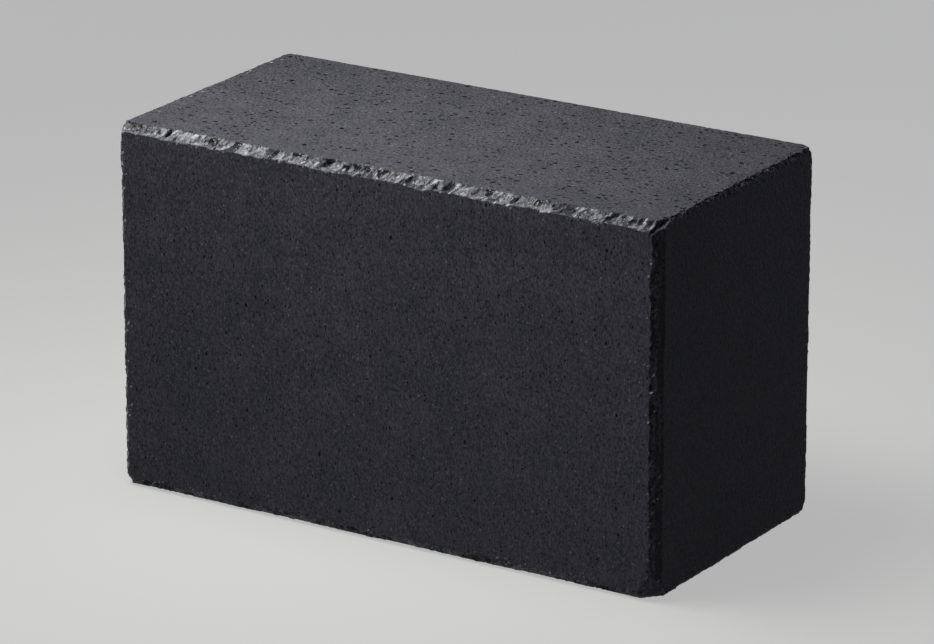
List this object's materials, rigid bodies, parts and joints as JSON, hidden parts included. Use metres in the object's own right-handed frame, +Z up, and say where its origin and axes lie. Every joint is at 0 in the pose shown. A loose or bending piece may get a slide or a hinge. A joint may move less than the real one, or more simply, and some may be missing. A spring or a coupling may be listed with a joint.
{
  "type": "refractory firebrick",
  "caption": "Dense dark grey rectangular refractory block with flat faces, fine pores and chipped, spalled arrises and corners.",
  "frame": {"origin": "centre of the bottom bed, where the brick rests", "axes": "+X along the length to the right end, +Y from the front face to the back face, +Z up"},
  "size_m": [0.23, 0.111, 0.141],
  "materials": {
    "firebrick": "matt, fine-pored pressed and fired surface with lighter fresh breaks along the arrises"
  },
  "bodies": {
    "root": {"firebrick": "firebrick"}
  },
  "joints": []
}
